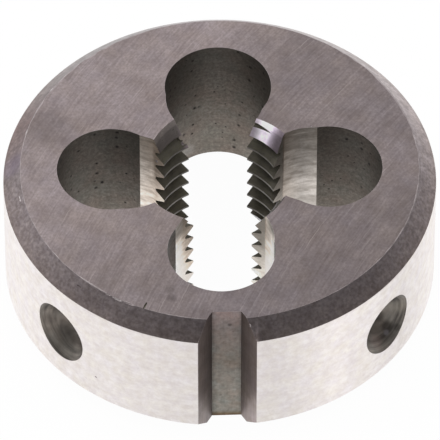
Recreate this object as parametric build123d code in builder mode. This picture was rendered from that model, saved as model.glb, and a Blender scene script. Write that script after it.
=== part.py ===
from build123d import *
from math import cos, radians, sin, tan
import os

# Round threading die, size 30 x 11, for M10 x 1.25 right hand.
# Frame: seat face on z = 0, die axis on +Z, adjusting slot towards -Y.
# All sizes are in millimetres and degrees.

# Blank
die_diameter = 30.0
die_thickness = 11.0
edge_chamfer = 1.2

# Thread
thread_diameter = 10.0
thread_pitch = 1.25
thread_clearance = 0.1      # how far the roots lie outside the thread the die cuts
thread_height = 0.784       # from the crests out to the roots, square to the axis
thread_root_flat = 0.185
thread_start = 0.42         # height of a groove's middle above the seat, on the +X side
flank_angle = 30.0

# Chip holes, and the faces ground on both sides of the lands between them. Next to the
# thread each side has a narrow hook face, and behind it a wide or a narrow panel.
chip_hole_count = 4
chip_hole_diameter = 7.42
chip_hole_circle = 15.1
chip_hole_turn = -1.1       # the hole pattern sits this far round from the slot
hook_length = 1.13
wide_edge_offset = 2.12     # crest edges, measured square to the hole's own radius
wide_hook_angle = 54.0      # hook faces, turned this far from the hole's own radius
wide_panel_width = 2.4      # panels, measured along the hole's own radius
wide_panel_radius = 3.9
narrow_edge_offset = 1.93
narrow_hook_angle = 43.5
narrow_panel_width = 0.85

# Leads: a cone at each end of the thread, backed off behind each land's cutting edge
lead_diameter = 10.84
lead_angle = 30.0
lead_backoff = 0.56         # each land's cone is struck this far off the die's axis

# Adjusting slot, ground into the rim
slot_floor_radius = 13.1
slot_floor_width = 2.0
slot_angle = 60.0

# Dimples for the set screws of the die stock
dimple_diameter = 4.5
dimple_angle = 90.0
dimple_spread = 49.3        # to each side of the slot
dimple_height = 5.3

overrun = 1.0               # how far cutting shapes reach past the faces they leave by

rim_radius = die_diameter / 2
root_radius = thread_diameter / 2 + thread_clearance
crest_radius = root_radius - thread_height
land_pitch = 360 / chip_hole_count

# One thread groove where it crosses one land: a ridge on a stretch of the helix
ridge_sweep = 0.9 * land_pitch
ridge_inner_radius = crest_radius - thread_clearance
ridge_outer_half = thread_root_flat / 2
ridge_inner_half = ridge_outer_half + (root_radius - ridge_inner_radius) * tan(radians(flank_angle))
with BuildPart() as groove:
    with BuildLine():
        Helix(thread_pitch, thread_pitch * ridge_sweep / 360, ridge_inner_radius)
    with BuildSketch(Plane.XZ):
        with BuildLine():
            Polyline(
                (ridge_inner_radius, -ridge_inner_half),
                (root_radius, -ridge_outer_half),
                (root_radius, ridge_outer_half),
                (ridge_inner_radius, ridge_inner_half),
                close=True,
            )
        make_face()
    sweep(is_frenet=True)

# The grooves follow each other round the lands, a share of the pitch higher each time
groove_turn = chip_hole_turn + (land_pitch - ridge_sweep) / 2
groove_bottom = thread_start + thread_pitch * (groove_turn / 360 - 2)
groove_rise = thread_pitch / chip_hole_count
groove_count = int((die_thickness + 3 * thread_pitch) / groove_rise)
groove_places = [
    Location((0, 0, groove_bottom + k * groove_rise), (0, 0, groove_turn + k * land_pitch))
    for k in range(groove_count)
]

# One land's lead, the land on the +X side. The cone's own axis lies off the die's,
# so the lead opens out behind the cutting edge on the land's +Y side.
lead_radius = lead_diameter / 2
lead_slope = tan(radians(lead_angle))
lead_top_radius = lead_radius + overrun * lead_slope
lead_cone_height = lead_top_radius / lead_slope
with BuildPart() as lead:
    with Locations((0, -lead_backoff, die_thickness + overrun - lead_cone_height / 2)):
        Cone(0, lead_top_radius, lead_cone_height)
    with BuildSketch():
        with BuildLine():
            Polyline((0, 0), (die_diameter, -die_diameter), (die_diameter, die_diameter), close=True)
        make_face()
    extrude(amount=2 * die_thickness, mode=Mode.INTERSECT)

# One chip hole's outline, the hole on the +X side. The wide side is +Y, where the panel
# is hollow. The narrow side is -Y, where the panel is flat.
hole_distance = chip_hole_circle / 2
hole_radius = chip_hole_diameter / 2
wide_hook = Vector(cos(radians(wide_hook_angle)), sin(radians(wide_hook_angle)))
wide_edge = Vector((crest_radius**2 - wide_edge_offset**2) ** 0.5, wide_edge_offset)
wide_heel = wide_edge + wide_hook * hook_length
wide_end_x = wide_heel.X + wide_panel_width
wide_end = Vector(wide_end_x, (hole_radius**2 - (wide_end_x - hole_distance) ** 2) ** 0.5)
narrow_hook = Vector(cos(radians(narrow_hook_angle)), -sin(radians(narrow_hook_angle)))
narrow_edge = Vector((crest_radius**2 - narrow_edge_offset**2) ** 0.5, -narrow_edge_offset)
narrow_heel = narrow_edge + narrow_hook * hook_length
narrow_end_x = narrow_heel.X + narrow_panel_width
narrow_end = Vector(narrow_end_x, -(hole_radius**2 - (narrow_end_x - hole_distance) ** 2) ** 0.5)
with BuildSketch() as chip_opening:
    with BuildLine():
        RadiusArc(wide_heel, wide_end, wide_panel_radius)
        Polyline(
            wide_heel,
            wide_edge - wide_hook * overrun,
            narrow_edge - narrow_hook * overrun,
            narrow_heel,
            narrow_end,
            (hole_distance, 0),
            wide_end,
        )
    make_face()
    with Locations((hole_distance, 0)):
        Circle(hole_radius)

with BuildPart() as threading_die:
    with BuildSketch():
        Circle(rim_radius)
        Circle(crest_radius, mode=Mode.SUBTRACT)
    extrude(amount=die_thickness)
    rim_edges = threading_die.edges().filter_by(GeomType.CIRCLE).group_by(SortBy.RADIUS)[-1]
    chamfer(rim_edges, edge_chamfer)

    # Chip holes
    with BuildSketch(Plane.XY.offset(-overrun)):
        with PolarLocations(0, chip_hole_count, start_angle=chip_hole_turn):
            add(chip_opening.sketch)
    extrude(amount=die_thickness + 2 * overrun, mode=Mode.SUBTRACT)

    # Thread
    with Locations(*groove_places):
        add(groove.part, mode=Mode.SUBTRACT)

    # Leads, the lower one turned over about the middle of its land
    with PolarLocations(0, chip_hole_count, start_angle=chip_hole_turn + land_pitch / 2):
        add(lead.part, mode=Mode.SUBTRACT)
        with Locations(Location((0, 0, die_thickness), (180, 0, 0))):
            add(lead.part, mode=Mode.SUBTRACT)

    # Adjusting slot
    slot_depth = rim_radius + overrun - slot_floor_radius
    slot_mouth_width = slot_floor_width + 2 * slot_depth * tan(radians(slot_angle / 2))
    with BuildSketch(Plane.XY.offset(-overrun)):
        with BuildLine():
            Polyline(
                (-slot_floor_width / 2, -slot_floor_radius),
                (slot_floor_width / 2, -slot_floor_radius),
                (slot_mouth_width / 2, -rim_radius - overrun),
                (-slot_mouth_width / 2, -rim_radius - overrun),
                close=True,
            )
        make_face()
    extrude(amount=die_thickness + 2 * overrun, mode=Mode.SUBTRACT)

    # Dimples
    dimple_slope = tan(radians(dimple_angle / 2))
    dimple_mouth_x = (rim_radius**2 - (dimple_diameter / 2) ** 2) ** 0.5
    dimple_outer_radius = dimple_diameter / 2 + overrun * dimple_slope
    dimple_length = dimple_outer_radius / dimple_slope
    for turn in (-90 - dimple_spread, -90 + dimple_spread):
        with Locations(Plane.XY.offset(dimple_height).rotated((0, 0, turn))):
            with Locations(Location((dimple_mouth_x + overrun - dimple_length / 2, 0, 0), (0, 90, 0))):
                Cone(0, dimple_outer_radius, dimple_length, mode=Mode.SUBTRACT)

threading_die.part.label = "threading_die"
os.makedirs("parts", exist_ok=True)
export_step(threading_die.part, "parts/threading_die.step")
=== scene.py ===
import math

import bmesh
import bpy
from mathutils import Matrix, Vector, noise


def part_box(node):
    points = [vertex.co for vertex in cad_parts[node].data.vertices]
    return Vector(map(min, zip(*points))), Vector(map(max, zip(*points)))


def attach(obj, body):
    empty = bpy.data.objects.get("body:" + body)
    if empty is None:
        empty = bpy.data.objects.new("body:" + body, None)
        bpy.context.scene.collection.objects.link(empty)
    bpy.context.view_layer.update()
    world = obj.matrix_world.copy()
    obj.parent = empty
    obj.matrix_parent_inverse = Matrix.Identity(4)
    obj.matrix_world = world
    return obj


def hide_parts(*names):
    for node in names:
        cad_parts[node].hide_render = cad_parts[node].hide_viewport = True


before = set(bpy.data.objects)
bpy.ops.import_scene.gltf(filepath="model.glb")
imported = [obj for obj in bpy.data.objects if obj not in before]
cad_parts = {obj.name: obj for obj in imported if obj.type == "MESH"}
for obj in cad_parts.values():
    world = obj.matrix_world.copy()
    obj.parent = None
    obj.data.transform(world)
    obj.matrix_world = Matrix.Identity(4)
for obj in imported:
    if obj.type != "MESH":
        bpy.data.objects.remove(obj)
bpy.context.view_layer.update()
print("frame loaded")

mm = 0.001

# the finishes, in the order of the die's material slots
finishNames = [
    "topFace", "chamfer", "rim", "slotFloor", "slotWall", "holeWall", "panel",
    "hookFace", "threadFlank", "threadCrest", "lead", "dimple", "arris", "freshCut",
]
finishIndex = {name: place for place, name in enumerate(finishNames)}


def polar(radius, angle, z=0.0):
    turn = math.radians(angle)
    return Vector((radius * math.cos(turn), radius * math.sin(turn), z))


def bearing(point):
    return math.degrees(math.atan2(point.y, point.x))


def spin(angle):
    return Matrix.Rotation(math.radians(angle), 3, "Z")


def arcPoints(centre, start, end, steps):
    # points anticlockwise from start to just before end
    radius = (start - centre).length
    first = bearing(start - centre)
    sweep = (bearing(end - centre) - first) % 360
    return [centre + polar(radius, first + sweep * k / steps) for k in range(steps)]


def meshObject(name, build):
    # an object from a bmesh that build() fills in millimetres
    shape = bmesh.new()
    build(shape)
    bmesh.ops.recalc_face_normals(shape, faces=shape.faces)
    shape.transform(Matrix.Scale(mm, 4))
    data = bpy.data.meshes.new(name)
    shape.to_mesh(data)
    shape.free()
    thing = bpy.data.objects.new(name, data)
    bpy.context.scene.collection.objects.link(thing)
    for finish in finishNames:
        data.materials.append(bpy.data.materials[finish])
    return thing


def addLoops(shape, loops, finishOf, capFinish="topFace"):
    # skins a list of point loops and caps both ends; finishOf names each face's finish
    rings = [[shape.verts.new(point) for point in loop] for loop in loops]
    count = len(rings[0])
    for level in range(len(rings) - 1):
        lower, upper = rings[level], rings[level + 1]
        for k in range(count):
            n = (k + 1) % count
            face = shape.faces.new((lower[k], lower[n], upper[n], upper[k]))
            face.material_index = finishIndex[finishOf(level, k)]
    for ring in (rings[0], rings[-1]):
        shape.faces.new(ring).material_index = finishIndex[capFinish]


def settle(thing):
    # replaces an object's mesh by the one its modifiers give
    bpy.context.view_layer.update()
    view = bpy.context.evaluated_depsgraph_get()
    result = bpy.data.meshes.new_from_object(thing.evaluated_get(view))
    thing.modifiers.clear()
    thing.data = result


def cutAway(thing, cutter):
    step = thing.modifiers.new("cut", "BOOLEAN")
    step.operation = "DIFFERENCE"
    step.solver = "EXACT"
    step.material_mode = "INDEX"
    step.object = cutter
    settle(thing)
    bpy.data.objects.remove(cutter)


# the die's blank; its shape is in millimetres and degrees throughout
boxLow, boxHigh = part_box("threading_die")
die = {
    "radius": (boxHigh.x - boxLow.x) / 2 / mm,
    "thickness": (boxHigh.z - boxLow.z) / mm,
    "chamfer": 1.2,
    "steps": 288,
    "reach": 1.0,           # how far a cutter goes past the faces that it leaves by
}


def buildBlank(shape):
    r, t, c = die["radius"], die["thickness"], die["chamfer"]
    rings = [(r - c, 0), (r, c), (r, t - c), (r - c, t)]
    steps = die["steps"]
    loops = [[polar(radius, 360 * k / steps, z) for k in range(steps)] for radius, z in rings]
    strips = ("chamfer", "rim", "chamfer")
    addLoops(shape, loops, lambda level, k: strips[level])


chipHole = {
    "count": 4,
    "radius": 3.71,
    "distance": 7.55,
    "turn": -1.1,
    "hookLength": 1.13,
    "wideHook": 54.0,
    "widePanel": 2.4,
    "wideHollow": 3.9,
    "narrowHook": 43.5,
    "narrowPanel": 0.85,
    # each hole was ground by itself: right, back, left, front
    "wideEdge": [2.10, 2.10, 2.12, 2.14],
    "narrowEdge": [1.95, 1.97, 1.97, 1.89],
    "steps": 72,
    "hollowSteps": 16,
    "crestSteps": 14,
}


def landAngle(land):
    # where the middle of a land lies, the land that follows the chip hole of the same number
    return chipHole["turn"] + 45 + 90 * land


def holeOutline(index):
    # one chip hole, seen with the hole on +X: (point, finish of the wall that starts there)
    h = chipHole
    crest = thread["rootRadius"] - thread["height"]
    middle = Vector((h["distance"], 0, 0))
    wideEdge = Vector(((crest**2 - h["wideEdge"][index]**2) ** 0.5, h["wideEdge"][index], 0))
    wideHeel = wideEdge + polar(h["hookLength"], h["wideHook"])
    endX = wideHeel.x + h["widePanel"]
    wideEnd = Vector((endX, (h["radius"]**2 - (endX - middle.x) ** 2) ** 0.5, 0))
    narrowEdge = Vector(((crest**2 - h["narrowEdge"][index]**2) ** 0.5, -h["narrowEdge"][index], 0))
    narrowHeel = narrowEdge + polar(h["hookLength"], -h["narrowHook"])
    endX = narrowHeel.x + h["narrowPanel"]
    narrowEnd = Vector((endX, -(h["radius"]**2 - (endX - middle.x) ** 2) ** 0.5, 0))
    chord = wideHeel - wideEnd
    across = Vector((-chord.y, chord.x, 0)).normalized()
    away = (h["wideHollow"]**2 - (chord.length / 2) ** 2) ** 0.5
    hollowCentre = (wideEnd + wideHeel) / 2 + across * away
    outline = [(narrowEdge, "panel"), (narrowHeel, "panel")]
    outline += [(p, "holeWall") for p in arcPoints(middle, narrowEnd, wideEnd, h["steps"])]
    outline += [(p, "panel") for p in arcPoints(hollowCentre, wideEnd, wideHeel, h["hollowSteps"])]
    outline += [(wideHeel, "hookFace"), (wideEdge, "threadCrest")]
    return outline


def buildOpening(shape):
    # the bore and the four chip holes as one prism
    outline = []
    for index in range(chipHole["count"]):
        turn = spin(chipHole["turn"] + 90 * index)
        outline += [(turn @ point, finish) for point, finish in holeOutline(index)]
    points = []
    for k, (point, finish) in enumerate(outline):
        points.append((point, finish))
        if finish == "threadCrest":
            following = outline[(k + 1) % len(outline)][0]
            arc = arcPoints(Vector((0, 0, 0)), point, following, chipHole["crestSteps"])
            points += [(p, finish) for p in arc[1:]]
    levels = (-die["reach"], die["thickness"] + die["reach"])
    loops = [[Vector((p.x, p.y, z)) for p, finish in points] for z in levels]
    addLoops(shape, loops, lambda level, k: points[k][1])


slot = {
    "floorRadius": 13.1,
    "floorWidth": 2.0,
    "angle": 60.0,
}
dimple = {
    "radius": 2.25,
    "angle": 90.0,
    "tip": 0.12,
    "turns": (-49.6, 49.0),     # left and right of the slot
    "height": 5.3,
    "steps": 72,
}


def buildSlotAndDimples(shape):
    out = die["radius"] + die["reach"]
    floor = slot["floorRadius"]
    inner = slot["floorWidth"] / 2
    outer = inner + (out - floor) * math.tan(math.radians(slot["angle"] / 2))
    corners = [(-inner, -floor), (inner, -floor), (outer, -out), (-outer, -out)]
    walls = ("slotFloor", "slotWall", "slotWall", "slotWall")
    levels = (-die["reach"], die["thickness"] + die["reach"])
    loops = [[Vector((x, y, z)) for x, y in corners] for z in levels]
    addLoops(shape, loops, lambda level, k: walls[k])
    slope = math.tan(math.radians(dimple["angle"] / 2))
    mouth = (die["radius"]**2 - dimple["radius"]**2) ** 0.5
    stations = [
        (mouth + die["reach"], dimple["radius"] + die["reach"] * slope),
        (mouth - (dimple["radius"] - dimple["tip"]) / slope, dimple["tip"]),
    ]
    for spread in dimple["turns"]:
        turn = spin(-90 + spread)
        loops = []
        for x, radius in stations:
            ring = [polar(radius, 360 * k / dimple["steps"]) for k in range(dimple["steps"])]
            loops.append([turn @ Vector((x, p.x, p.y + dimple["height"])) for p in ring])
        addLoops(shape, loops, lambda level, k: "dimple", capFinish="dimple")


thread = {
    "pitch": 1.25,
    "rootRadius": 5.1,
    "height": 0.784,
    "rootFlat": 0.185,
    "start": 0.42,          # height of a groove's middle on the +X side
    "flank": 30.0,
    "overlap": 0.1,         # how far the grooves start inside the crests
    "halfSpan": 40.0,       # how far a groove runs to each side of a land's middle
    "steps": 36,
}


def buildThread(shape):
    # the grooves, each a stretch of the helix across one land
    root, half = thread["rootRadius"], thread["rootFlat"] / 2
    inner = root - thread["height"] - thread["overlap"]
    innerHalf = half + (root - inner) * math.tan(math.radians(thread["flank"]))
    section = [(inner, -innerHalf), (root, -half), (root, half), (inner, innerHalf)]
    turns = int(die["thickness"] / thread["pitch"]) + 3
    span, steps = thread["halfSpan"], thread["steps"]
    for land in range(chipHole["count"]):
        for lap in range(-2, turns):
            loops = []
            for k in range(steps + 1):
                angle = landAngle(land) - span + 2 * span * k / steps
                rise = thread["start"] + thread["pitch"] * (angle / 360 + lap)
                loops.append([polar(radius, angle, rise + z) for radius, z in section])
            addLoops(shape, loops, lambda level, k: "threadFlank", capFinish="threadFlank")


lead = {
    "radius": 5.42,
    "slope": 30.0,
    "backoff": 0.56,        # how far off the die's axis each land's cone is struck
    "tip": 3.5,             # the cone's radius where its cutter ends, well inside the crests
    "core": 2.2,
    "halfSpan": 38.0,
    "steps": 48,
}


def buildLeads(shape):
    # above and below each land, a cone struck off the axis so that it relieves the edge
    slope = math.tan(math.radians(lead["slope"]))
    top, out = die["thickness"], die["thickness"] + die["reach"]
    low = top - (lead["radius"] - lead["tip"]) / slope
    shift = Vector((0, lead["backoff"], 0))
    for land in range(chipHole["count"]):
        for turned in (False, True):
            # turned over about the middle of its own land, for the seat side
            loops = []
            for k in range(lead["steps"] + 1):
                angle = -lead["halfSpan"] + 2 * lead["halfSpan"] * k / lead["steps"]
                loop = []
                for z in (low, out):
                    cone = polar(lead["radius"] + (z - top) * slope, angle) - shift
                    loop.append(Vector((cone.x, cone.y, z)))
                core = polar(lead["core"], angle)
                loop += [Vector((core.x, core.y, z)) for z in (out, low)]
                if turned:
                    loop = [Vector((p.x, -p.y, top - p.z)) for p in loop]
                loops.append([spin(landAngle(land)) @ p for p in loop])
            addLoops(shape, loops, lambda level, k: "lead", capFinish="lead")


# knocks: place as (radius, angle, height), size as (along, across, deep), the way they run, finish
nicks = [
    ((13.86, 237.6, 10.97), (0.42, 0.08, 0.07), 327.5, "freshCut"),
    ((13.84, 234.6, 10.98), (0.25, 0.06, 0.05), 324.0, "arris"),
    ((13.83, 241.3, 10.98), (0.45, 0.07, 0.05), 331.0, "arris"),
    ((13.55, 245.9, 11.0), (0.34, 0.07, 0.08), 246.0, "threadFlank"),
    ((14.20, 225.3, 10.59), (0.20, 0.05, 0.05), 316.0, "slotWall"),
    ((13.86, 125.3, 11.0), (0.42, 0.07, 0.04), 36.0, "freshCut"),
    ((13.86, 139.8, 11.0), (0.50, 0.08, 0.04), 50.0, "freshCut"),
    ((13.84, 134.0, 11.0), (0.30, 0.06, 0.04), 44.0, "freshCut"),
    ((13.84, 146.0, 11.0), (0.30, 0.06, 0.04), 56.0, "freshCut"),
    ((13.86, 160.0, 11.0), (0.25, 0.05, 0.04), 70.0, "freshCut"),
    ((13.83, 164.0, 10.98), (0.30, 0.06, 0.05), 74.0, "freshCut"),
    ((13.82, 177.0, 11.0), (0.30, 0.05, 0.04), 87.0, "arris"),
    ((14.05, 188.8, 10.77), (0.30, 0.06, 0.04), 99.0, "freshCut"),
    ((14.17, 276.35, 10.62), (0.12, 0.07, 0.12), 276.0, "freshCut"),
    ((7.42, 29.3, 11.0), (0.10, 0.07, 0.06), 10.0, "arris"),
    ((15.02, 233.3, 3.2), (0.08, 0.08, 0.07), 0.0, "chamfer"),
    ((4.95, 122.6, 9.42), (0.20, 0.15, 0.24), 30.0, "threadFlank"),
    ((4.62, 121.2, 9.18), (0.20, 0.16, 0.20), 30.0, "arris"),
    ((4.30, 120.2, 8.20), (0.12, 0.12, 0.16), 70.0, "arris"),
    ((4.99, 149.5, 9.0), (0.13, 0.13, 0.13), 45.0, "freshCut"),
]


def buildNicks(shape):
    for (radius, angle, z), size, way, finish in nicks:
        spot = Matrix.Translation(polar(radius, angle, z)) @ Matrix.Rotation(math.radians(way), 4, "Z")
        spot = spot @ Matrix.Diagonal((*size, 1))
        before = len(shape.faces)
        bmesh.ops.create_icosphere(shape, subdivisions=2, radius=1.0, matrix=spot)
        shape.faces.ensure_lookup_table()
        for face in shape.faces[before:]:
            face.material_index = finishIndex[finish]


edges = {
    "width": 0.1,           # the widest worn edge
    "segments": 2,
    "sharp": 24.0,          # faces that meet at more than this keep a crisp edge
    # how worn the top edge is round the die: bearing, share
    "wear": [
        (0, 0.3), (20, 0.6), (45, 0.6), (60, 0.25), (100, 0.3), (120, 0.8), (148, 1.0), (158, 0.4),
        (172, 0.2), (190, 0.3), (205, 0.35), (225, 0.5), (237, 0.9), (243, 0.5), (252, 0.4),
        (262, 0.15), (300, 0.15), (325, 0.5), (345, 0.6), (360, 0.4),
    ],
    # the least and the most worn stretch of each kind of edge, in shares of the width
    "weights": {
        ("chamfer", "topFace"): (0.03, 1.3), ("chamfer", "rim"): (0.15, 0.8),
        ("holeWall", "topFace"): (0.1, 0.25), ("panel", "topFace"): (0.1, 0.25),
        ("hookFace", "topFace"): (0.1, 0.2), ("dimple", "rim"): (0.35, 0.4),
        ("rim", "slotWall"): (0.3, 0.3), ("chamfer", "slotWall"): (0.05, 0.15),
        ("slotWall", "topFace"): (0.1, 0.2), ("slotFloor", "topFace"): (0.1, 0.1),
        ("holeWall", "panel"): (0.3, 0.3),
    },
    # wear comes and goes in patches: their mean, swing and number per millimetre
    "patchLevel": 0.48,
    "patchSwing": 2.0,
    "patchRate": 1.6,
    "weld": 0.001,          # corners closer than this become one
    "sliver": 0.0008,       # faces narrower than this go
    "folded": -0.9,         # product of the normals of two faces that lie back to back
    "rimBand": 0.12,        # worn edges this close to the rim look like the rim
}


def wornShare(point):
    # an uneven share from 0 to 1 for a point on an edge
    angle = bearing(point) % 360
    for (first, low), (second, high) in zip(edges["wear"], edges["wear"][1:]):
        if first <= angle <= second:
            share = low + (high - low) * (angle - first) / (second - first)
    patchy = edges["patchLevel"] + edges["patchSwing"] * noise.noise(point * edges["patchRate"])
    return share * min(max(patchy, 0.0), 1.0)


def wearEdges(thing):
    # small worn bevels along the outer edges, uneven in width, none on the thread's own edges
    shape = bmesh.new()
    shape.from_mesh(thing.data)
    layer = shape.edges.layers.float.new("bevel_weight_edge")
    for edge in shape.edges:
        if len(edge.link_faces) != 2 or not edge.is_convex:
            continue
        if edge.calc_face_angle() < math.radians(edges["sharp"]):
            continue
        pair = tuple(sorted(finishNames[face.material_index] for face in edge.link_faces))
        least, most = edges["weights"].get(pair, (0.0, 0.0))
        middle = (edge.verts[0].co + edge.verts[1].co) / (2 * mm)
        edge[layer] = least + (most - least) * wornShare(middle)
    shape.to_mesh(thing.data)
    shape.free()
    step = thing.modifiers.new("wear", "BEVEL")
    step.limit_method = "WEIGHT"
    step.width = edges["width"] * mm
    step.segments = edges["segments"]
    step.material = finishIndex["arris"]
    step.use_clamp_overlap = False
    settle(thing)


def smoothFaces(thing):
    shape = bmesh.new()
    shape.from_mesh(thing.data)
    bmesh.ops.remove_doubles(shape, verts=shape.verts, dist=edges["weld"] * mm)
    bmesh.ops.dissolve_degenerate(shape, edges=shape.edges, dist=edges["sliver"] * mm)
    # a bevel can leave slivers folded flat on a neighbour: a corner with two faces back to back
    shape.normal_update()
    tips = []
    for vert in shape.verts:
        if len(vert.link_edges) == 2 and len(vert.link_faces) == 2:
            first, second = vert.link_faces
            if first.normal.dot(second.normal) < edges["folded"]:
                tips.append(vert)
    bmesh.ops.dissolve_verts(shape, verts=tips)
    rimStart = die["radius"] - edges["rimBand"]
    for face in shape.faces:
        face.smooth = True
        middle = face.calc_center_median() / mm
        if face.material_index == finishIndex["arris"] and middle.xy.length > rimStart:
            face.material_index = finishIndex["rim"]
    for edge in shape.edges:
        bent = len(edge.link_faces) == 2 and edge.calc_face_angle(0) > math.radians(edges["sharp"])
        edge.smooth = not bent
    shape.to_mesh(thing.data)
    shape.free()
    step = thing.modifiers.new("normals", "WEIGHTED_NORMAL")
    step.keep_sharp = True
    settle(thing)


def makeDie():
    body = meshObject("dieBody", buildBlank)
    cutAway(body, meshObject("opening", buildOpening))
    cutAway(body, meshObject("slotAndDimples", buildSlotAndDimples))
    print("blank, openings, slot and dimples:", len(body.data.polygons), "faces")
    wearEdges(body)
    cutAway(body, meshObject("grooves", buildThread))
    cutAway(body, meshObject("leads", buildLeads))
    cutAway(body, meshObject("nicks", buildNicks))
    smoothFaces(body)
    print("thread, leads and nicks:", len(body.data.polygons), "faces")
    return body


def tone(red, green, blue):
    # a colour as it is seen on a screen, turned to the linear values that Blender works in
    def linear(value):
        value /= 255
        return value / 12.92 if value <= 0.04045 else ((value + 0.055) / 1.055) ** 2.4
    return (linear(red), linear(green), linear(blue), 1.0)


def grey(value):
    return (value, value, value, 1.0)


def addNode(tree, kind, inputs=None, **settings):
    node = tree.nodes.new(kind)
    for key, value in settings.items():
        setattr(node, key, value)
    for socket, value in (inputs or {}).items():
        if isinstance(value, bpy.types.NodeSocket):
            tree.links.new(value, node.inputs[socket])
        else:
            node.inputs[socket].default_value = value
    return node


def emptyTree(owner):
    # the node tree of a material or world, with nothing in it yet
    owner.use_nodes = True
    owner.node_tree.nodes.clear()
    return owner.node_tree


def maths(tree, operation, *values):
    return addNode(tree, "ShaderNodeMath", dict(enumerate(values)), operation=operation).outputs[0]


def vectorMaths(tree, operation, *values):
    node = addNode(tree, "ShaderNodeVectorMath", dict(enumerate(values)), operation=operation)
    return node.outputs["Value" if operation in ("DOT_PRODUCT", "LENGTH", "DISTANCE") else "Vector"]


def scaledVector(tree, vector, factor):
    return addNode(tree, "ShaderNodeVectorMath", {0: vector, "Scale": factor}, operation="SCALE").outputs[0]


def axes(tree, vector):
    return addNode(tree, "ShaderNodeSeparateXYZ", {0: vector}).outputs


def combined(tree, x, y, z=0.0):
    return addNode(tree, "ShaderNodeCombineXYZ", {"X": x, "Y": y, "Z": z}).outputs[0]


def mapped(tree, value, low, high, first=0.0, last=1.0, smooth=False):
    # turns the range from low to high into the one from first to last
    return addNode(
        tree, "ShaderNodeMapRange",
        {"Value": value, "From Min": low, "From Max": high, "To Min": first, "To Max": last},
        interpolation_type="SMOOTHSTEP" if smooth else "LINEAR",
    ).outputs[0]


def blend(tree, share, first, second, kind="MIX"):
    return addNode(
        tree, "ShaderNodeMix", {0: share, 6: first, 7: second},
        data_type="RGBA", blend_type=kind, clamp_result=True,
    ).outputs[2]


def ramped(tree, value, wanted):
    ramp = addNode(tree, "ShaderNodeValToRGB", {0: value})
    stops = ramp.color_ramp.elements
    while len(stops) < len(wanted):
        stops.new(1.0)
    for stop, (where, shade) in zip(stops, wanted):
        stop.position = where
        stop.color = shade
    return ramp.outputs[0]


def newGroup(name, inputs, outputs):
    group = bpy.data.node_groups.new(name, "ShaderNodeTree")
    for label, kind, default in inputs:
        socket = group.interface.new_socket(name=label, in_out="INPUT", socket_type=kind)
        if default is not None:
            socket.default_value = default
    for label, kind in outputs:
        group.interface.new_socket(name=label, in_out="OUTPUT", socket_type=kind)
    start = group.nodes.new("NodeGroupInput").outputs
    end = group.nodes.new("NodeGroupOutput").inputs
    return group, start, end


def useGroup(tree, name, inputs):
    return addNode(tree, "ShaderNodeGroup", inputs, node_tree=bpy.data.node_groups[name]).outputs


# how far the edges of pits stray, how rare wide ones are, the least width and the darkest core
pitShape = {"stray": 0.12, "rarity": 2.5, "leastWidth": 0.3, "core": 0.2}


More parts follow.
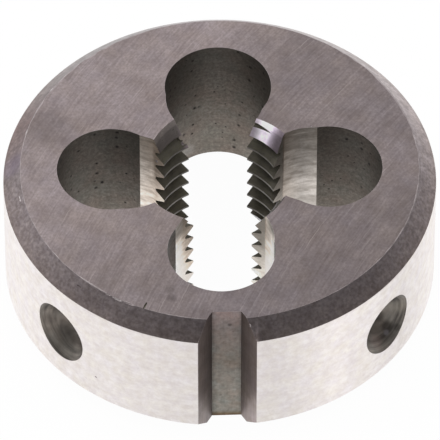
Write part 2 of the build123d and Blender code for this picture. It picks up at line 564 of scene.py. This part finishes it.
def buildGroups():
    vector, value = "NodeSocketVector", "NodeSocketFloat"

    # the arcs that a large grinding wheel leaves: x is the distance from its centre, y runs along
    group, start, end = newGroup(
        "grinderArc", [("Position", vector, None), ("Centre", vector, None)], [("Arc", vector)]
    )
    parts = axes(group, vectorMaths(group, "SUBTRACT", start["Position"], start["Centre"]))
    distance = vectorMaths(group, "LENGTH", combined(group, parts["X"], parts["Y"]))
    along = maths(group, "MULTIPLY", maths(group, "ARCTAN2", parts["Y"], parts["X"]), distance)
    group.links.new(combined(group, distance, along, parts["Z"]), end["Arc"])

    # lines of noise stretched along one way, as a tool or a stone leaves them
    group, start, end = newGroup(
        "toolLines",
        [("Position", vector, None), ("Stretch", vector, (1, 1, 1)), ("Low", value, 0.35),
         ("High", value, 0.65), ("Seed", value, 0.0)],
        [("Lines", value)],
    )
    stretched = vectorMaths(group, "MULTIPLY", start["Position"], start["Stretch"])
    lines = addNode(
        group, "ShaderNodeTexNoise",
        {"Vector": stretched, "W": start["Seed"], "Scale": 1.0, "Detail": 3.0, "Roughness": 0.6},
        noise_dimensions="4D",
    )
    group.links.new(mapped(group, lines.outputs["Fac"], start["Low"], start["High"]), end["Lines"])

    # soft blotches
    group, start, end = newGroup(
        "clouding",
        [("Position", vector, None), ("Size", value, 2.0), ("Low", value, 0.35),
         ("High", value, 0.65), ("Seed", value, 0.0)],
        [("Cloud", value)],
    )
    rate = maths(group, "DIVIDE", 1.0, start["Size"])
    cloud = addNode(
        group, "ShaderNodeTexNoise",
        {"Vector": start["Position"], "W": start["Seed"], "Scale": rate, "Detail": 4.0, "Roughness": 0.55},
        noise_dimensions="4D",
    )
    group.links.new(mapped(group, cloud.outputs["Fac"], start["Low"], start["High"]), end["Cloud"])

    # small dark pits with ragged edges, in a share of the cells, and only a few of them wide
    group, start, end = newGroup(
        "pitting",
        [("Position", vector, None), ("Spacing", value, 1.0), ("Share", value, 0.5),
         ("Width", value, 0.2)],
        [("Pits", value)],
    )
    rate = maths(group, "DIVIDE", 1.0, start["Spacing"])
    ragged = addNode(group, "ShaderNodeTexNoise", {"Vector": start["Position"], "Scale": 6.0, "Detail": 2.0})
    nudge = vectorMaths(group, "SUBTRACT", ragged.outputs["Color"], (0.5, 0.5, 0.5))
    moved = vectorMaths(group, "ADD", start["Position"], scaledVector(group, nudge, pitShape["stray"]))
    cells = addNode(group, "ShaderNodeTexVoronoi", {"Vector": moved, "Scale": rate, "Randomness": 1.0})
    chance = addNode(group, "ShaderNodeSeparateColor", {0: cells.outputs["Color"]}).outputs
    chosen = maths(group, "LESS_THAN", chance["Red"], start["Share"])
    uneven = maths(group, "POWER", chance["Green"], pitShape["rarity"])
    width = mapped(group, uneven, 0.0, 1.0, first=pitShape["leastWidth"])
    outer = maths(group, "MULTIPLY", maths(group, "MULTIPLY", width, start["Width"]), rate)
    inner = maths(group, "MULTIPLY", outer, pitShape["core"])
    dark = mapped(group, cells.outputs["Distance"], inner, outer, first=1.0, last=0.0, smooth=True)
    group.links.new(maths(group, "MULTIPLY", dark, chosen), end["Pits"])


dull = tone(70, 62, 60)
# painted shade for the inside of the dimples
paintedDimpleShade = tone(46, 42, 40)

# what each finish looks like. Lengths are in millimetres, and lines in waves per millimetre.
# Roughness is (least, most); warp, hues and grain start with a size; pits are (spacing, share, width).
# Colour ramps are slow changes of colour over the die: along a way, round the axis, or out from it. Most of
# them are painted light and shade; a few only change the hue.
# Spots are (middle, radius, strength, tone): some are marks and dirt, many are painted shade and painted
# highlights.
finishes = {
    "topFace": {
        "light": tone(172, 161, 161), "dark": tone(134, 123, 123), "stain": tone(114, 104, 101),
        "lines": (6.0, 0.35, 1.0), "lineShare": 0.5, "cloudSize": 1.9, "cloudShare": 0.44,
        "stainSize": 1.1, "stainShare": 0.27, "roughness": (0.36, 0.5), "metallic": 0.85,
        "bump": 0.2, "arc": (70.0, -45.0, 0.0), "grain": (0.17, 0.45), "warp": (1.0, 0.22),
        "hues": (2.4, tone(255, 252, 249), tone(250, 250, 255)),
        "scratches": ((7.0, 0.1, 1.0), 0.6, 0.68, 0.55, tone(196, 186, 184)),
        # painted light: the top face is lighter towards the back left and darker towards the front right,
        # and lighter and darker in turn round the axis
        "paintedLightAndTints": [
            {"way": (0.8, -0.6, 0.0), "span": (-13.0, 13.0),
             "stops": [(0.2, grey(1.04)), (0.4, grey(0.86)), (0.8, grey(0.75)), (1.0, grey(0.68))]},
            {"bearings": [
                (-180, grey(1.0)), (-150, grey(1.1)), (-135, grey(1.12)), (-115, grey(1.0)),
                (-60, grey(1.0)), (-45, grey(1.06)), (-20, grey(1.0)), (0, grey(1.18)), (22, grey(1.0)),
                (45, grey(1.0)), (60, grey(0.94)), (90, grey(1.1)), (110, grey(1.0)), (180, grey(1.0)),
            ]},
        ],
        "smudgesAndPaintedLight": [
            ((-11.8, 4.0, 11.0), 2.6, 0.28, dull), ((-3.75, -11.0, 11.0), 0.5, 0.25, dull),
            ((-3.7, -11.7, 11.0), 0.5, 0.35, dull), ((2.5, 11.6, 11.0), 2.0, 0.12, dull),
            ((-11.7, -4.5, 11.0), 1.6, 0.14, dull), ((-10.4, -7.4, 11.0), 1.6, 0.14, dull),
            ((-8.2, -9.8, 11.0), 1.6, 0.16, dull),
        ],
    },
    "chamfer": {
        "light": tone(204, 194, 194), "dark": tone(160, 150, 150), "stain": tone(112, 103, 101),
        "lines": (0.3, 0.3, 7.0), "lineShare": 0.3, "cloudSize": 0.6, "cloudShare": 0.6,
        "stainSize": 2.0, "stainShare": 0.3, "roughness": (0.26, 0.36), "metallic": 1.0, "bump": 0.1,
        "grain": (0.22, 0.55), "hues": (0.4, tone(255, 252, 249), tone(252, 250, 252)),
        "smudgesAndPaintedLight": [((-14.3, 1.2, 10.4), 1.4, 0.35, tone(158, 148, 176))],
        # painted reflection: the chamfer is lighter and darker in turn round the axis, and much darker at
        # the back left; the last ramp only shifts its hue with height
        "paintedLightAndTints": [
            {"bearings": [
                (-180, grey(0.79)), (-160, grey(1.19)), (-140, grey(1.11)), (-120, grey(1.0)),
                (-100, grey(0.85)), (-80, grey(1.0)), (-60, grey(1.1)), (-20, grey(0.96)), (0, grey(0.81)),
                (20, grey(1.05)), (40, grey(1.13)), (90, grey(1.0)), (120, grey(0.65)),
                (140, (0.6, 0.57, 0.56, 1.0)), (160, (0.5, 0.4, 0.385, 1.0)), (180, grey(0.79)),
            ]},
            {"way": (0.0, 0.0, 1.0), "span": (9.8, 11.0),
             "stops": [(0.0, tone(255, 250, 247)), (0.35, tone(253, 250, 250)), (1.0, tone(250, 249, 252))]},
        ],
    },
    "rim": {
        "light": tone(255, 251, 249), "dark": tone(238, 231, 228), "stain": tone(216, 208, 202),
        "lines": (0.6, 0.6, 3.0), "lineShare": 0.4, "cloudSize": 0.5, "cloudShare": 0.7,
        "stainSize": 1.2, "stainShare": 0.2, "roughness": (0.3, 0.42), "metallic": 0.8, "bump": 0.1,
        "grain": (0.16, 0.22), "hues": (1.0, tone(255, 253, 249), tone(253, 251, 254)),
        # painted reflection: the rim is lighter and darker in turn round the axis, as it reflects the floor
        # and the room
        "paintedLightAndTints": [
            {"bearings": [
                (-180, grey(1.0)), (-165, grey(1.03)), (-145, grey(0.98)), (-120, grey(0.92)),
                (-102, grey(0.84)), (-75, grey(0.835)), (-60, grey(1.03)), (-35, grey(0.86)),
                (-15, grey(1.04)), (0, grey(1.0)), (25, grey(0.9)), (70, grey(0.85)), (120, grey(0.84)),
                (155, grey(0.9)), (180, grey(1.0)),
            ]},
        ],
    },
    "slotFloor": {
        "light": tone(152, 146, 141), "dark": tone(126, 120, 115), "stain": tone(106, 96, 84),
        "lines": (6.0, 6.0, 0.4), "lineShare": 0.25, "cloudSize": 0.3, "cloudShare": 0.7,
        "stainSize": 1.5, "stainShare": 0.3, "roughness": (0.5, 0.65), "metallic": 0.6, "bump": 0.35,
        "grain": (0.14, 0.2), "hues": (0.9, tone(255, 246, 238), tone(246, 252, 250)),
        "pits": (0.7, 0.5, 0.12),
        # painted shade: the first ramp darkens the floor along both inner corners; the second gives a brown
        # stain at the bottom and lighter and darker bands up the floor
        "paintedLightAndTints": [
            {"way": (1.0, 0.0, 0.0), "span": (-1.0, 1.0),
             "stops": [(0.0, grey(0.58)), (0.1, grey(0.86)), (0.2, grey(1.0)), (0.5, grey(1.03)),
                       (0.9, grey(1.0)), (1.0, grey(0.7))]},
            {"way": (0.0, 0.0, 1.0), "span": (0.0, 11.0),
             "stops": [(0.0, tone(214, 176, 130)), (0.02, tone(240, 220, 190)),
                       (0.05, (1.3, 1.38, 1.4, 1.0)), (0.25, grey(1.3)), (0.55, grey(0.92)),
                       (0.75, (0.88, 0.84, 0.87, 1.0)), (0.88, (0.92, 0.85, 0.91, 1.0)),
                       (1.0, (1.25, 1.08, 1.18, 1.0))]},
        ],
        "smudgesAndPaintedLight": [
            ((0.22, -13.1, 9.6), 0.22, 0.7, dull), ((0.45, -13.1, 8.9), 0.1, 0.35, dull),
            ((-0.4, -13.1, 2.2), 0.14, 0.35, dull), ((0.55, -13.1, 2.0), 0.15, 0.3, dull),
        ],
    },
    "slotWall": {
        "light": tone(150, 142, 138), "dark": tone(116, 109, 106), "stain": tone(104, 90, 82),
        "lines": (6.0, 6.0, 0.4), "lineShare": 0.35, "cloudSize": 1.6, "cloudShare": 0.5,
        "stainSize": 0.8, "stainShare": 0.3, "roughness": (0.35, 0.5), "metallic": 0.9, "bump": 0.2,
        "grain": (0.2, 0.2), "hues": (1.3, tone(255, 249, 247), tone(252, 246, 252)),
        # painted light and shade: the right wall lighter than the left, darker where the walls meet the
        # floor, and lighter towards the bottom
        "paintedLightAndTints": [
            {"way": (1.0, 0.0, 0.0), "span": (-1.0, 1.0), "stops": [(0.0, grey(0.85)), (1.0, grey(1.25))]},
            {"span": (13.1, 15.0), "stops": [(0.0, grey(0.55)), (0.35, grey(0.92)), (0.8, grey(1.15))]},
            {"way": (0.0, 0.0, 1.0), "span": (0.0, 11.0),
             "stops": [(0.05, grey(1.45)), (0.2, grey(1.2)), (0.4, grey(1.0))]},
        ],
    },
    "holeWall": {
        "light": tone(170, 161, 154), "dark": tone(136, 129, 123), "stain": tone(122, 114, 104),
        "lines": (0.5, 0.5, 4.0), "lineShare": 0.25, "cloudSize": 0.22, "cloudShare": 0.7,
        "stainSize": 2.4, "stainShare": 0.35, "roughness": (0.45, 0.6), "metallic": 0.75, "bump": 0.35,
        "grain": (0.13, 0.5), "hues": (1.8, tone(255, 247, 242), tone(248, 253, 250)),
        "pits": (0.55, 0.65, 0.24),
        # painted shade: the walls darken towards the top, where the front of each hole shades them
        "paintedLightAndTints": [
            {"way": (0.0, 0.0, 1.0), "span": (0.0, 11.0),
             "stops": [(0.2, grey(0.96)), (0.54, grey(0.62)), (0.77, grey(0.42)), (1.0, grey(0.3))]},
        ],
        # the first spot is a painted highlight low on the back hole's wall
        "smudgesAndPaintedLight": [
            ((-1.9, 10.65, 0.9), 0.8, 0.28, tone(214, 206, 206)),
            ((-3.5, -6.0, 9.0), 2.2, 0.6, tone(134, 102, 88)),
        ],
    },
    "panel": {
        "light": tone(255, 247, 240), "dark": tone(190, 181, 172), "stain": tone(168, 158, 146),
        "lines": (0.5, 0.5, 2.6), "lineShare": 0.8, "cloudSize": 0.5, "cloudShare": 0.3,
        "stainSize": 0.5, "stainShare": 0.35, "roughness": (0.3, 0.42), "metallic": 1.0, "bump": 0.4,
        "grain": (0.14, 0.2), "pits": (0.55, 0.5, 0.08),
        # painted light and shade: the panels darken towards the top, are much lighter on the lands that face
        # the front, and lighter away from the axis
        "paintedLightAndTints": [
            {"way": (0.0, 0.0, 1.0), "span": (0.0, 11.0),
             "stops": [(0.35, grey(0.92)), (0.45, grey(1.08)), (0.58, grey(0.82)), (0.72, grey(0.64)),
                       (0.93, grey(0.66))]},
            {"way": (-0.35, -0.94, 0.0), "round": True, "span": (-1.0, 1.0),
             "stops": [(0.11, grey(0.71)), (0.42, grey(1.36)), (0.62, grey(2.2)), (0.9, grey(2.8))]},
            {"span": (5.0, 8.0),
             "stops": [(0.0, tone(236, 228, 220)), (0.6, grey(1.0)), (1.0, grey(1.25))]},
        ],
        # painted shade on the shaded sides of the two front lands
        "smudgesAndPaintedLight": [
            ((-2.9, -4.9, 10.7), 2.1, 0.9, tone(88, 81, 74)),
            ((-2.3, -4.05, 9.3), 1.2, 0.6, tone(106, 100, 93)),
            ((-2.3, -4.05, 8.0), 1.3, 0.6, tone(112, 107, 102)),
            ((-2.3, -4.05, 6.7), 1.3, 0.55, tone(112, 107, 102)),
            ((-2.3, -4.05, 5.4), 1.2, 0.5, tone(112, 107, 102)),
            ((3.45, -5.4, 11.1), 1.5, 0.9, tone(84, 77, 68)),
            ((3.0, -4.7, 9.6), 1.3, 0.6, tone(104, 95, 84)),
        ],
    },
    "hookFace": {
        "light": tone(232, 225, 216), "dark": tone(192, 184, 174), "stain": tone(150, 142, 130),
        "lines": (0.45, 0.45, 4.5), "lineShare": 0.5, "cloudSize": 1.2, "cloudShare": 0.45,
        "stainSize": 0.8, "stainShare": 0.4, "roughness": (0.3, 0.42), "metallic": 0.8, "bump": 0.3,
        # painted light and shade: the hook faces darken towards the top and are lighter on the lands that
        # face the front
        "paintedLightAndTints": [
            {"way": (0.0, 0.0, 1.0), "span": (0.0, 11.0),
             "stops": [(0.45, grey(1.0)), (0.68, grey(0.62)), (0.95, grey(0.5))]},
            {"way": (-0.35, -0.94, 0.0), "round": True, "span": (-1.0, 1.0),
             "stops": [(0.11, grey(0.76)), (0.42, grey(1.18)), (0.9, grey(1.7))]},
        ],
    },
    "threadFlank": {
        "light": tone(94, 89, 83), "dark": tone(60, 56, 52), "stain": tone(84, 82, 64),
        "lines": (0.6, 0.6, 8.0), "lineShare": 0.4, "cloudSize": 0.7, "cloudShare": 0.5,
        "stainSize": 1.2, "stainShare": 0.25, "roughness": (0.4, 0.55), "metallic": 0.7, "bump": 0.15,
        "grain": (0.12, 0.55),
        # painted light: the flanks are lighter low down and on the left, against the shade deep in the
        # thread
        "paintedLightAndTints": [
            {"way": (0.0, 0.0, 1.0), "span": (0.0, 11.0), "stops": [(0.2, grey(2.0)), (0.8, grey(1.3))]},
            {"way": (1.0, 0.0, 0.0), "span": (-5.0, 5.0), "stops": [(0.2, grey(1.3)), (0.8, grey(0.9))]},
        ],
    },
    "threadCrest": {
        "light": tone(128, 123, 118), "dark": tone(92, 88, 84), "stain": tone(84, 78, 72),
        "lines": (0.6, 0.6, 8.0), "lineShare": 0.3, "cloudSize": 0.7, "cloudShare": 0.6,
        "stainSize": 1.2, "stainShare": 0.25, "roughness": (0.35, 0.5), "metallic": 0.8, "bump": 0.1,
    },
    "lead": {
        "light": tone(250, 244, 252), "dark": tone(222, 214, 224), "stain": tone(170, 162, 170),
        "lines": (0.3, 0.3, 6.0), "lineShare": 0.3, "cloudSize": 0.5, "cloudShare": 0.7,
        "stainSize": 0.45, "stainShare": 0.5, "roughness": (0.25, 0.38), "metallic": 0.1, "bump": 0.1,
        "grain": (0.2, 0.3),
        # painted reflection: a bright band on the lead of the back right land, the other leads darker, and
        # the top of each lead lighter
        "paintedLightAndTints": [
            {"bearings": [
                (-180, tone(88, 84, 77)), (24, tone(96, 90, 92)), (36, tone(110, 102, 106)),
                (39, tone(150, 142, 148)), (42, tone(206, 198, 208)), (45, (1.3, 1.24, 1.34, 1.0)),
                (51, (1.34, 1.29, 1.36, 1.0)), (54, grey(0.78)), (58, tone(170, 163, 168)),
                (85, tone(98, 94, 87)), (112, tone(150, 140, 138)), (119, tone(150, 140, 138)),
                (124, tone(98, 94, 87)), (152, tone(88, 84, 77)),
            ]},
            {"way": (0.0, 0.0, 1.0), "span": (8.5, 11.0),
             "stops": [(0.84, grey(1.0)), (0.87, grey(1.5)), (1.0, grey(1.85))]},
        ],
    },
    "dimple": {
        "light": tone(136, 130, 124), "dark": tone(70, 66, 64), "stain": tone(92, 80, 72),
        "lines": (6.0, 0.3, 0.3), "lineShare": 0.9, "cloudSize": 0.8, "cloudShare": 0.2,
        "stainSize": 0.8, "stainShare": 0.3, "roughness": (0.35, 0.5), "metallic": 0.85, "bump": 0.25,
        "rings": (11.37, 9.78, 5.3), "grain": (0.16, 0.15),
        "hues": (1.5, tone(255, 248, 243), tone(250, 252, 250)),
        # painted shade and painted light inside the right dimple's cone, dark near its tip with lighter
        # patches beside, and painted shade in the left dimple
        "smudgesAndPaintedLight": [
            ((11.25, -8.74, 3.85), 0.6, 0.7, paintedDimpleShade), ((10.71, -8.39, 4.58), 0.55, 0.6, paintedDimpleShade),
            ((11.96, -8.64, 3.65), 0.4, 0.55, paintedDimpleShade), ((12.02, -8.09, 5.3), 0.9, 0.25, tone(170, 166, 156)),
            ((10.44, -9.91, 3.61), 0.8, 0.25, tone(150, 130, 124)),
            ((11.2, -9.05, 3.57), 0.3, 0.4, tone(140, 136, 144)), ((-12.0, -8.0, 4.9), 0.7, 0.3, dull),
        ],
    },
    "arris": {
        "light": tone(188, 178, 179), "dark": tone(146, 137, 137), "stain": tone(124, 115, 114),
        "lines": (1.5, 1.5, 1.5), "lineShare": 0.4, "cloudSize": 1.2, "cloudShare": 0.6,
        "stainSize": 0.7, "stainShare": 0.35, "roughness": (0.45, 0.6), "metallic": 0.85, "bump": 0.1,
    },
    "freshCut": {
        "light": tone(214, 206, 206), "dark": tone(176, 168, 168), "stain": tone(140, 132, 132),
        "lines": (3.0, 3.0, 3.0), "lineShare": 0.5, "cloudSize": 0.3, "cloudShare": 0.5,
        "stainSize": 0.3, "stainShare": 0.35, "roughness": (0.4, 0.55), "metallic": 0.8, "bump": 0.15,
    },
}
# what all the finishes share
common = {
    "stainRange": (0.52, 0.72),
    "scratchPatch": 3.0,        # size of the places where stray scratches are
    "spotCore": 0.3,          # share of a spot's radius that has its full strength
    "pitTone": tone(34, 28, 26),
    "bumpDepth": 0.02,
}
# keeps the blotches of different kinds apart
seeds = {"cloud": 0.0, "stain": 3.0, "scratches": 5.0, "grain": 7.0, "hues": 11.0, "scratchPatch": 13.0}


def clouds(tree, place, size, seed, low=0.35, high=0.65):
    inputs = {"Position": place, "Size": size, "Low": low, "High": high, "Seed": seed}
    return useGroup(tree, "clouding", inputs)["Cloud"]


def lineCourse(tree, place, look):
    # the coordinates that a finish's tool lines follow
    course = place
    if "warp" in look:
        size, amount = look["warp"]
        wave = addNode(tree, "ShaderNodeTexNoise", {"Vector": place, "Scale": 1 / size, "Detail": 2.0})
        wave = vectorMaths(tree, "SUBTRACT", wave.outputs["Color"], (0.5, 0.5, 0.5))
        course = vectorMaths(tree, "ADD", place, scaledVector(tree, wave, amount))
    if "arc" in look:
        course = useGroup(tree, "grinderArc", {"Position": course, "Centre": look["arc"]})["Arc"]
    if "rings" in look:
        # both dimples, folded onto one corner of the axes; x is the distance from the mouth's middle
        away = vectorMaths(tree, "DISTANCE", vectorMaths(tree, "ABSOLUTE", place), look["rings"])
        parts = axes(tree, place)
        course = combined(tree, away, parts["X"], parts["Z"])
    return course


def withShadeAndTint(tree, place, colour, shadeAndTint):
    # a colour times a ramp of stops, for painted light and shade and for changes of hue
    if "bearings" in shadeAndTint:
        parts = axes(tree, place)
        value = maths(tree, "ARCTAN2", parts["Y"], parts["X"])
        low, high = -math.pi, math.pi
        stops = [(angle / 360 + 0.5, shade) for angle, shade in shadeAndTint["bearings"]]
    else:
        flat = vectorMaths(tree, "MULTIPLY", place, (1, 1, 0))
        if "way" in shadeAndTint:
            where = vectorMaths(tree, "NORMALIZE", flat) if shadeAndTint.get("round") else place
            value = vectorMaths(tree, "DOT_PRODUCT", where, shadeAndTint["way"])
        else:
            value = vectorMaths(tree, "LENGTH", flat)
        low, high = shadeAndTint["span"]
        stops = shadeAndTint["stops"]
    return blend(tree, 1.0, colour, ramped(tree, mapped(tree, value, low, high), stops), "MULTIPLY")


def makeFinish(name):
    look = finishes[name]
    tree = emptyTree(bpy.data.materials.new(name))
    source = addNode(tree, "ShaderNodeTexCoord").outputs["Object"]
    place = scaledVector(tree, source, 1 / mm)
    course = lineCourse(tree, place, look)
    lines = useGroup(tree, "toolLines", {"Position": course, "Stretch": look["lines"]})["Lines"]
    cloud = clouds(tree, place, look["cloudSize"], seeds["cloud"])
    stain = clouds(tree, place, look["stainSize"], seeds["stain"], *common["stainRange"])
    lines = maths(tree, "MULTIPLY", lines, look["lineShare"])
    cloud = maths(tree, "MULTIPLY", cloud, look["cloudShare"])
    mixing = maths(tree, "ADD", lines, cloud)
    colour = blend(tree, mixing, look["dark"], look["light"])
    colour = blend(tree, maths(tree, "MULTIPLY", stain, look["stainShare"]), colour, look["stain"])
    smoothest, roughest = look["roughness"]
    rough = mapped(tree, mixing, 0.0, 1.0, first=roughest, last=smoothest)
    if "grain" in look:
        size, share = look["grain"]
        speckle = maths(tree, "MULTIPLY", clouds(tree, place, size, seeds["grain"]), share)
        colour = blend(tree, speckle, colour, look["stain"])
    if "scratches" in look:
        # stray deeper scratches, only in some places
        stretch, low, high, share, shade = look["scratches"]
        inputs = {"Position": course, "Stretch": stretch, "Low": low, "High": high}
        stray = useGroup(tree, "toolLines", {**inputs, "Seed": seeds["scratches"]})["Lines"]
        where = clouds(tree, place, common["scratchPatch"], seeds["scratchPatch"])
        stray = maths(tree, "MULTIPLY", stray, where)
        colour = blend(tree, maths(tree, "MULTIPLY", stray, share), colour, shade)
    # spots of dirt, painted shade and painted highlight, mixed into the colour
    for spot, radius, strength, shade in look.get("smudgesAndPaintedLight", ()):
        away = vectorMaths(tree, "DISTANCE", place, spot)
        core = common["spotCore"] * radius
        spotShare = mapped(tree, away, core, radius, first=strength, last=0.0, smooth=True)
        colour = blend(tree, spotShare, colour, shade)
    if "hues" in look:
        size, first, second = look["hues"]
        hue = blend(tree, clouds(tree, place, size, seeds["hues"]), first, second)
        colour = blend(tree, 1.0, colour, hue, "MULTIPLY")
    # painted light and shade and changes of hue, multiplied into the colour
    for shadeAndTint in look.get("paintedLightAndTints", ()):
        colour = withShadeAndTint(tree, place, colour, shadeAndTint)
    height = mixing
    if "pits" in look:
        spacing, share, width = look["pits"]
        inputs = {"Position": place, "Spacing": spacing, "Share": share, "Width": width}
        pits = useGroup(tree, "pitting", inputs)["Pits"]
        colour = blend(tree, pits, colour, common["pitTone"])
        height = maths(tree, "SUBTRACT", mixing, pits)
    bump = addNode(
        tree, "ShaderNodeBump",
        {"Strength": look["bump"], "Distance": common["bumpDepth"] * mm, "Height": height},
    )
    shader = addNode(
        tree, "ShaderNodeBsdfPrincipled",
        {"Base Color": colour, "Roughness": rough, "Metallic": look["metallic"], "Normal": bump.outputs[0]},
    )
    addNode(tree, "ShaderNodeOutputMaterial", {"Surface": shader.outputs[0]})


buildGroups()
for name in finishNames:
    makeFinish(name)
print("finishes made")

dieBody = makeDie()
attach(dieBody, "root")
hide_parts("threading_die")

studio = {
    "floorSize": 4.0,
    "floorGap": 0.01 * mm,      # keeps the floor just clear of the seat
    "floorTone": 0.9,
    "floorGlow": 0.97,          # how much of its own light the floor shows to the camera and to metal
    "keyPower": 1.2,
    "keyPlace": (-0.35, 0.40, 0.55),
    "keySize": 0.50,
    "fillPower": 0.3,
    "fillPlace": (0.25, 0.55, 0.45),
    "fillSize": 0.40,
    # what metal sees round it: a lit card up behind, a dim room above the front
    "tentCard": (0.0, 0.66, 0.75),
    "tentCardEdge": (0.6, 0.95),
    "tentCardLevel": 0.55,
    "tentLevels": [
        (0.0, grey(0.68)), (0.2, grey(0.46)), (0.44, grey(0.26)), (0.7, grey(0.14)), (1.0, grey(0.25)),
    ],
    "tentLeft": 0.1,
}
cameraView = {
    "distance": 557.3 * mm,
    "elevation": 48.8365,
    "turn": 2.04,
    "lens": 654.55,
    "sensor": 36.0,
    "shift": (0.0006, 0.0001),
    "clip": (0.01, 20),
}


def makeFloor():
    half = studio["floorSize"] / 2
    data = bpy.data.meshes.new("floor")
    z = -studio["floorGap"]
    corners = [(-half, -half, z), (half, -half, z), (half, half, z), (-half, half, z)]
    data.from_pydata(corners, [], [(0, 1, 2, 3)])
    floor = bpy.data.objects.new("floor", data)
    bpy.context.scene.collection.objects.link(floor)
    material = bpy.data.materials.new("paleFloor")
    tree = emptyTree(material)
    rays = addNode(tree, "ShaderNodeLightPath").outputs
    card = addNode(tree, "ShaderNodeBsdfDiffuse", {"Color": grey(studio["floorTone"])}).outputs[0]
    white = addNode(tree, "ShaderNodeEmission", {"Color": grey(1.0), "Strength": 1.0}).outputs[0]
    seen = maths(tree, "MAXIMUM", rays["Is Camera Ray"], rays["Is Glossy Ray"])
    share = maths(tree, "MULTIPLY", seen, studio["floorGlow"])
    mixed = addNode(tree, "ShaderNodeMixShader", {0: share, 1: card, 2: white}).outputs[0]
    addNode(tree, "ShaderNodeOutputMaterial", {"Surface": mixed})
    data.materials.append(material)


def makeWorld():
    world = bpy.data.worlds.new("studio")
    bpy.context.scene.world = world
    tree = emptyTree(world)
    rays = addNode(tree, "ShaderNodeLightPath").outputs
    way = addNode(tree, "ShaderNodeTexCoord").outputs["Generated"]
    facing = vectorMaths(tree, "DOT_PRODUCT", way, studio["tentCard"])
    low, high = studio["tentCardEdge"]
    card = mapped(tree, facing, low, high, last=studio["tentCardLevel"], smooth=True)
    parts = axes(tree, way)
    room = ramped(tree, parts["Z"], studio["tentLevels"])
    left = maths(tree, "MULTIPLY", parts["X"], -studio["tentLeft"])
    level = maths(tree, "ADD", card, maths(tree, "ADD", left, room))
    tent = addNode(tree, "ShaderNodeBackground", {"Color": grey(1.0), "Strength": level}).outputs[0]
    white = addNode(tree, "ShaderNodeBackground", {"Color": grey(1.0), "Strength": 1.0}).outputs[0]
    mixed = addNode(tree, "ShaderNodeMixShader", {0: rays["Is Glossy Ray"], 1: white, 2: tent}).outputs[0]
    addNode(tree, "ShaderNodeOutputWorld", {"Surface": mixed})


def makeLamp(name, place, size, power):
    lamp = bpy.data.lights.new(name, "AREA")
    lamp.shape = "DISK"
    lamp.size = size
    lamp.energy = power
    thing = bpy.data.objects.new(name, lamp)
    thing.location = place
    thing.rotation_euler = (-Vector(place)).to_track_quat("-Z", "Y").to_euler()
    bpy.context.scene.collection.objects.link(thing)


def makeCamera():
    view = cameraView
    lens = bpy.data.cameras.new("camera")
    lens.sensor_fit = "HORIZONTAL"
    lens.sensor_width = view["sensor"]
    lens.lens = view["lens"]
    lens.shift_x, lens.shift_y = view["shift"]
    lens.clip_start, lens.clip_end = view["clip"]
    camera = bpy.data.objects.new("camera", lens)
    rise, turn = math.radians(view["elevation"]), math.radians(view["turn"])
    aim = Vector((0, 0, die["thickness"] * mm / 2))
    back = Vector((-math.sin(turn) * math.cos(rise), -math.cos(turn) * math.cos(rise), math.sin(rise)))
    camera.location = aim + back * view["distance"]
    camera.rotation_euler = (-back).to_track_quat("-Z", "Y").to_euler()
    bpy.context.scene.collection.objects.link(camera)
    bpy.context.scene.camera = camera


makeFloor()
makeWorld()
makeLamp("keyLamp", studio["keyPlace"], studio["keySize"], studio["keyPower"])
makeLamp("fillLamp", studio["fillPlace"], studio["fillSize"], studio["fillPower"])
makeCamera()
bpy.context.scene.view_settings.view_transform = "Standard"
print("studio ready")
